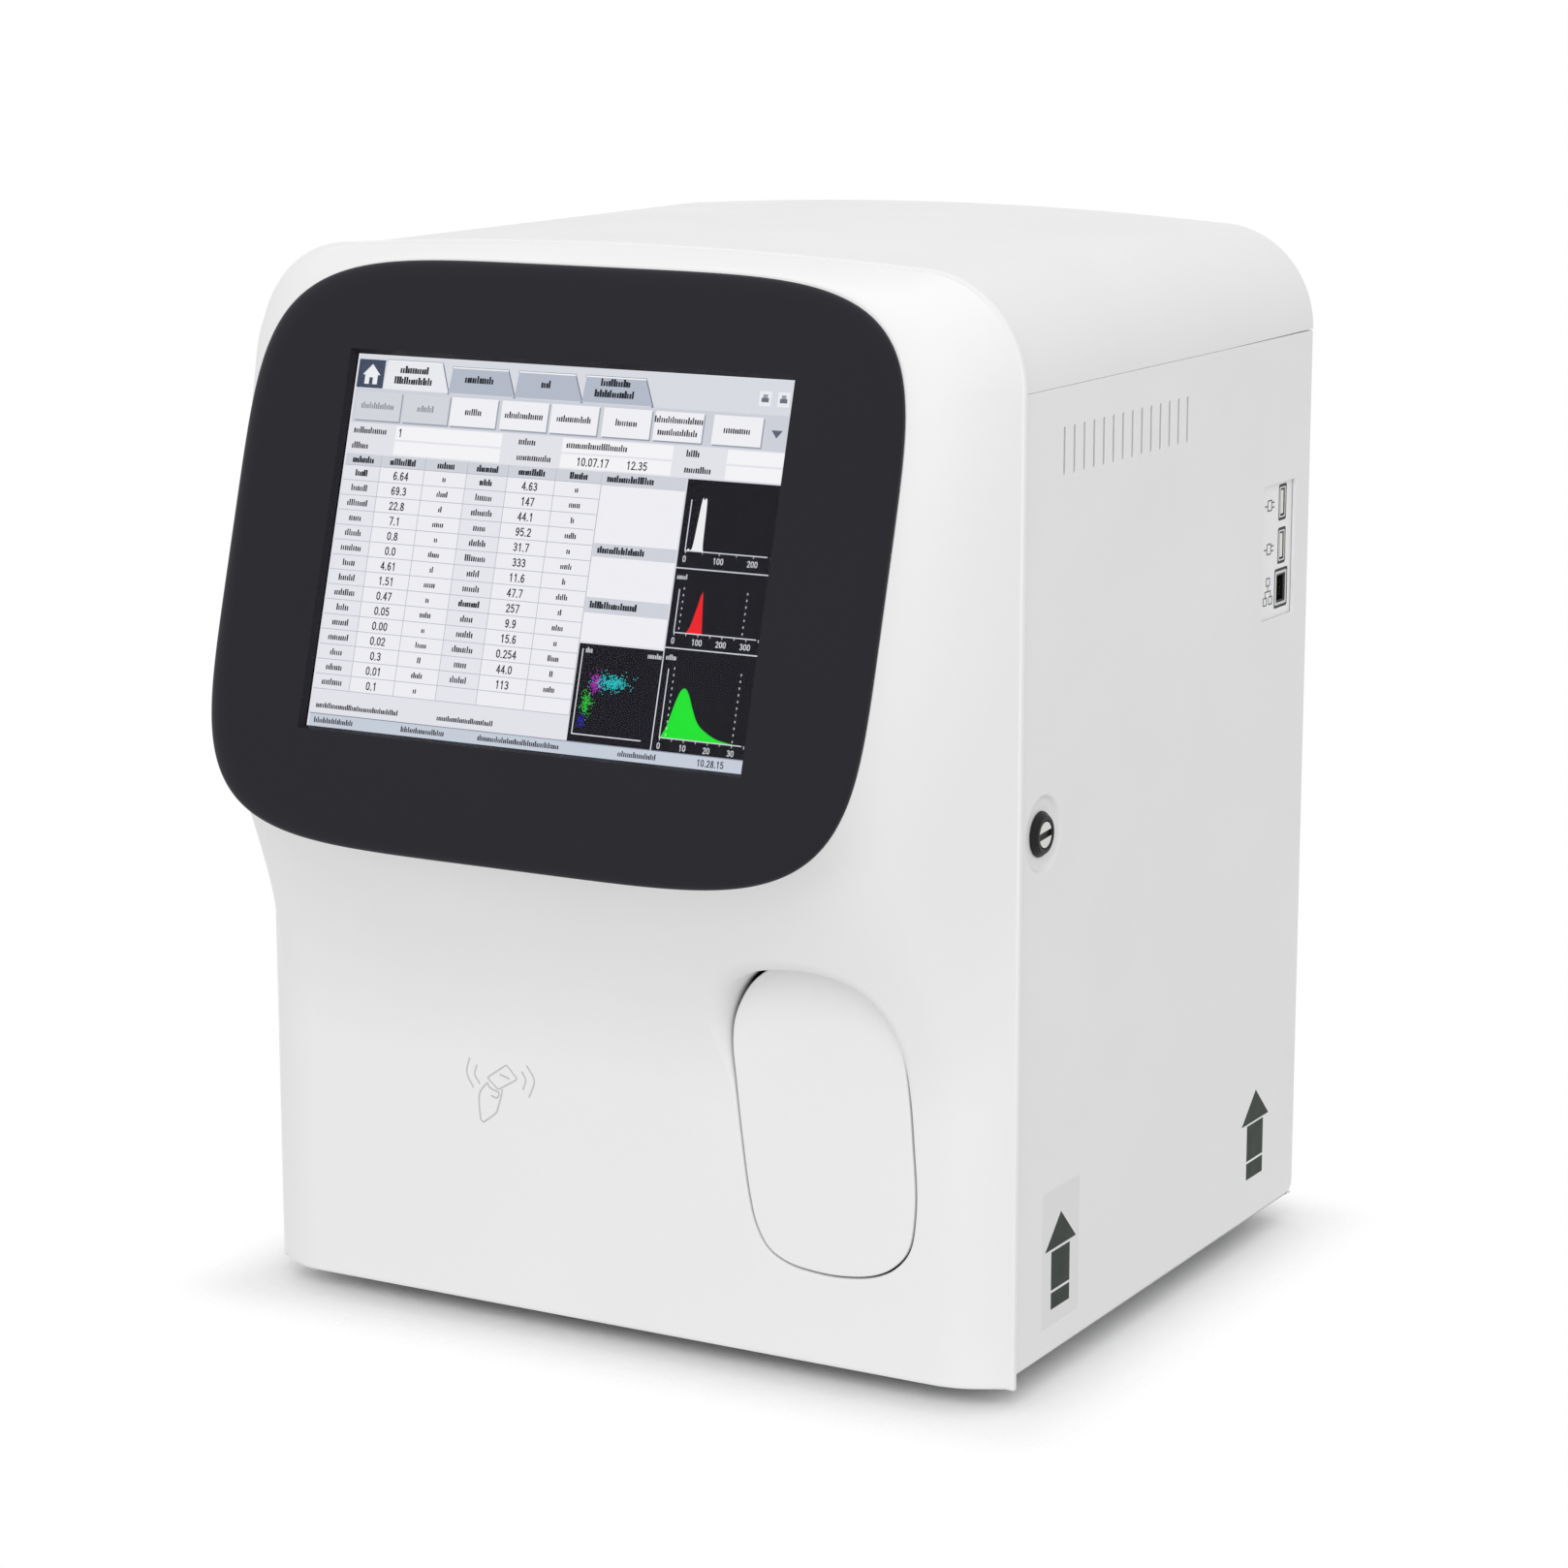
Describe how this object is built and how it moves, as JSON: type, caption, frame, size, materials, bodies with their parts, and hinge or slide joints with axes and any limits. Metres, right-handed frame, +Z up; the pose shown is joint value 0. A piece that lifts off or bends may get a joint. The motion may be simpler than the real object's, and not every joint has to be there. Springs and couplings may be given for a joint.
{
  "type": "hematology analyzer",
  "caption": "Bench-top blood cell analyzer with a leaning touch screen in a soft black bezel, a tilting sample door, a hinged service door on the side and a complete sampling unit inside.",
  "frame": {"origin": "middle of the bounding box, on the surface that the unit stands on", "axes": "+Z up, the screen and the sample door face -Y, +X is the right-hand side of someone facing the screen"},
  "size_m": [0.3732, 0.4188, 0.479],
  "materials": {
    "shell_white": "fine satin moulded ABS",
    "panel_white": "fine-textured powder coat on sheet steel",
    "door_white": "fine satin moulded ABS",
    "bezel_black": "soft-touch charcoal",
    "screen_glass": "touch panel",
    "zinc_steel": "zinc-plated sheet",
    "stainless_steel": "fine machined",
    "black_plastic": "moulded",
    "grey_plastic": "moulded",
    "foot_rubber": "matt moulded rubber",
    "clear_acrylic": "clear cast acrylic",
    "circuit_green": "solder mask on circuit board",
    "anodised_aluminium": "clear anodised",
    "port_brass": "turned"
  },
  "bodies": {
    "housing": {"display_bezel": "bezel_black", "touch_glass": "screen_glass", "lcd_module": "black_plastic", "display_bracket": "zinc_steel", "front_cover": "shell_white", "top_cover": "panel_white", "left_panel": "panel_white", "rear_panel": "panel_white", "base_tray": "zinc_steel", "foot_front_left": "foot_rubber", "foot_front_right": "foot_rubber", "foot_rear_left": "foot_rubber", "foot_rear_right": "foot_rubber", "chassis_frame": "zinc_steel", "partition_plate": "zinc_steel", "sample_bay": "black_plastic", "sample_door_pin": "stainless_steel", "sample_door_latch": "grey_plastic", "door_pivot_upper": "zinc_steel", "door_pivot_lower": "zinc_steel", "io_plate": "panel_white", "usb_socket_upper": "stainless_steel", "usb_socket_lower": "stainless_steel", "lan_socket": "stainless_steel", "io_board": "circuit_green", "power_inlet": "black_plastic", "switch_frame": "black_plastic", "fan_frame": "black_plastic", "diluent_port": "grey_plastic", "lyse_port": "grey_plastic", "waste_port": "port_brass", "probe_rail": "stainless_steel", "carriage_motor": "black_plastic", "bath_shelf": "anodised_aluminium", "wbc_bath": "clear_acrylic", "rbc_bath": "clear_acrylic", "syringe_bracket": "anodised_aluminium", "syringe_barrel_large": "clear_acrylic", "syringe_barrel_small": "clear_acrylic", "valve_bank": "anodised_aluminium", "liquid_pump": "grey_plastic", "waste_chamber": "clear_acrylic", "instrument_shelf": "zinc_steel", "optical_bench": "anodised_aluminium", "main_board": "circuit_green", "power_supply": "zinc_steel", "card_reader_board": "circuit_green"},
    "sample_door": {"sample_door": "door_white", "tube_holder": "grey_plastic"},
    "service_door": {"right_door": "panel_white", "lock_barrel": "black_plastic"},
    "door_lock": {"lock_cam": "stainless_steel"},
    "power_rocker": {"switch_rocker": "black_plastic"},
    "fan_rotor": {"fan_rotor": "black_plastic"},
    "carriage": {"probe_carriage": "anodised_aluminium"},
    "probe_lift": {"probe_block": "black_plastic", "sampling_probe": "stainless_steel"},
    "large_plunger": {"plunger_large": "stainless_steel"},
    "small_plunger": {"plunger_small": "stainless_steel"}
  },
  "joints": [
    {"name": "sample_door_tilt", "type": "hinge", "parent": "housing", "child": "sample_door", "pos_m": [0.1037, -0.11514, 0.081], "axis": [1, 0, 0], "range_deg": [0, 28]},
    {"name": "service_door_hinge", "type": "hinge", "parent": "housing", "child": "service_door", "pos_m": [0.1795, 0.19087, 0.2198], "axis": [0, 0, 1], "range_deg": [0, 100]},
    {"name": "lock_turn", "type": "hinge", "parent": "service_door", "child": "door_lock", "pos_m": [0.173, -0.08234, 0.242], "axis": [1, 0, 0], "range_deg": [0, 90]},
    {"name": "power_rocker_tilt", "type": "hinge", "parent": "housing", "child": "power_rocker", "pos_m": [-0.1, 0.19637, 0.066], "axis": [1, 0, 0], "range_deg": [0, 12]},
    {"name": "fan_spin", "type": "hinge", "parent": "housing", "child": "fan_rotor", "pos_m": [-0.084, 0.18136, 0.264], "axis": [0, 1, 0], "continuous": true},
    {"name": "carriage_travel", "type": "slide", "parent": "housing", "child": "carriage", "axis": [0, 1, 0], "range_m": [0, 0.119]},
    {"name": "probe_lower", "type": "slide", "parent": "carriage", "child": "probe_lift", "axis": [0, 0, -1], "range_m": [0, 0.04]},
    {"name": "large_plunger_stroke", "type": "slide", "parent": "housing", "child": "large_plunger", "axis": [0, 0, -1], "range_m": [0, 0.03]},
    {"name": "small_plunger_stroke", "type": "slide", "parent": "housing", "child": "small_plunger", "axis": [0, 0, -1], "range_m": [0, 0.03]}
  ]
}
